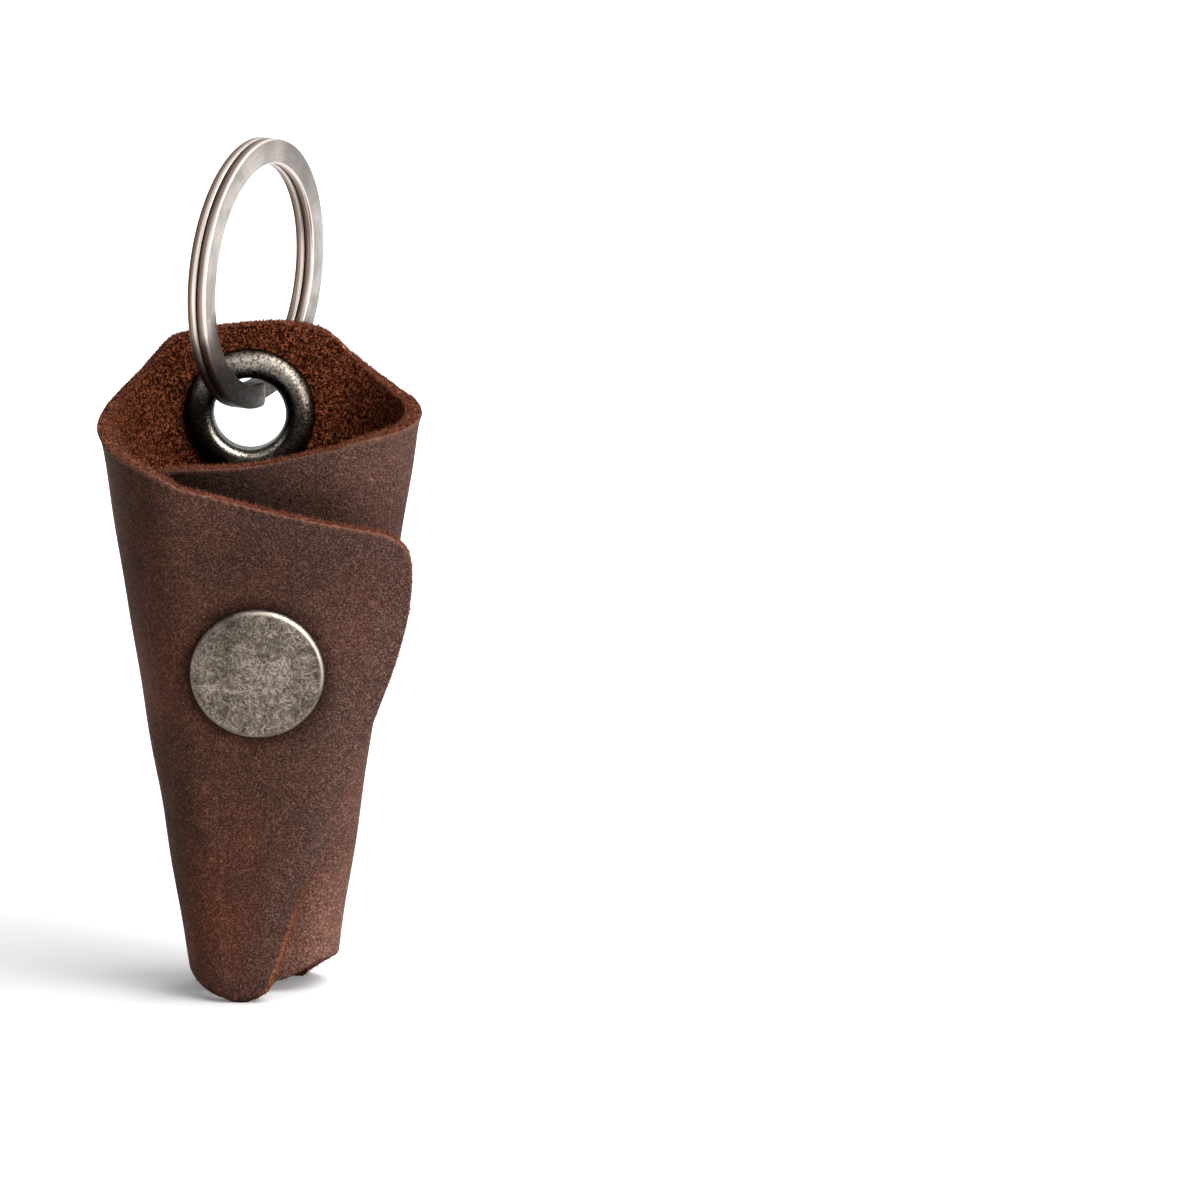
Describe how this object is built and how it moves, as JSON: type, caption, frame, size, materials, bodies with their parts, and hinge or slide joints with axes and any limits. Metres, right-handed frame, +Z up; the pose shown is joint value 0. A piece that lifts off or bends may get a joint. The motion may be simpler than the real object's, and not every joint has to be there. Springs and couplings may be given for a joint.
{
  "type": "leather key holder",
  "caption": "Tapered leather wrap for keys, folded from one sheet and closed by a press snap, with a metal eyelet and a split ring standing up from its back panel.",
  "frame": {"origin": "middle of the back panel's bottom edge, on the surface that the wrap stands on", "axes": "+Z up along the wrap, +Y towards the back panel, so the closing flaps and the snap face -Y, +X to the right of someone who faces the snap"},
  "size_m": [0.0336, 0.0366, 0.0891],
  "materials": {
    "leather_back": "smooth dark brown grain outside, fuzzy red-brown suede inside",
    "leather_outer_flap": "smooth dark brown grain outside, burnished redder in the middle",
    "leather_inner_flap": "smooth brown grain outside, fuzzy red-brown suede inside",
    "eyelet_metal": "worn antique nickel, bright on the crown and dark in the recesses",
    "snap_metal": "mottled antique nickel with a brighter rounded edge",
    "spring_steel": "bright spring wire",
    "ring_metal": "warm grey worn nickel"
  },
  "bodies": {
    "back": {"leather_back": "leather_back", "eyelet": "eyelet_metal", "eyelet_washer": "eyelet_metal"},
    "outer_flap": {"leather_outer_flap": "leather_outer_flap", "snap_cap": "snap_metal", "snap_cap_rivet": "snap_metal", "snap_socket": "snap_metal", "snap_spring": "spring_steel"},
    "inner_flap": {"leather_inner_flap": "leather_inner_flap", "snap_stud": "snap_metal", "snap_post": "snap_metal"},
    "key_ring": {"key_ring": "ring_metal"}
  },
  "joints": [
    {"name": "outer_flap_open", "type": "hinge", "parent": "back", "child": "outer_flap", "pos_m": [-0.00658, -0.00939, 0], "axis": [0.1333, 0.0665, -0.9888], "range_deg": [0, 120], "stiffness_Nm_per_rad": 0.004},
    {"name": "inner_flap_open", "type": "hinge", "parent": "back", "child": "inner_flap", "pos_m": [0.00658, -0.00559, 0], "axis": [0.1333, -0.0665, 0.9888], "range_deg": [0, 40], "stiffness_Nm_per_rad": 0.004},
    {"name": "key_ring_swing", "type": "hinge", "parent": "back", "child": "key_ring", "pos_m": [-0.0013, 0.0033, 0.0601], "axis": [0, -0.9976, 0.0698], "range_deg": [-55, 55]}
  ],
  "couplings": [
    {"joint": "inner_flap_open", "follows": "outer_flap_open", "ratio": 0.33333}
  ]
}
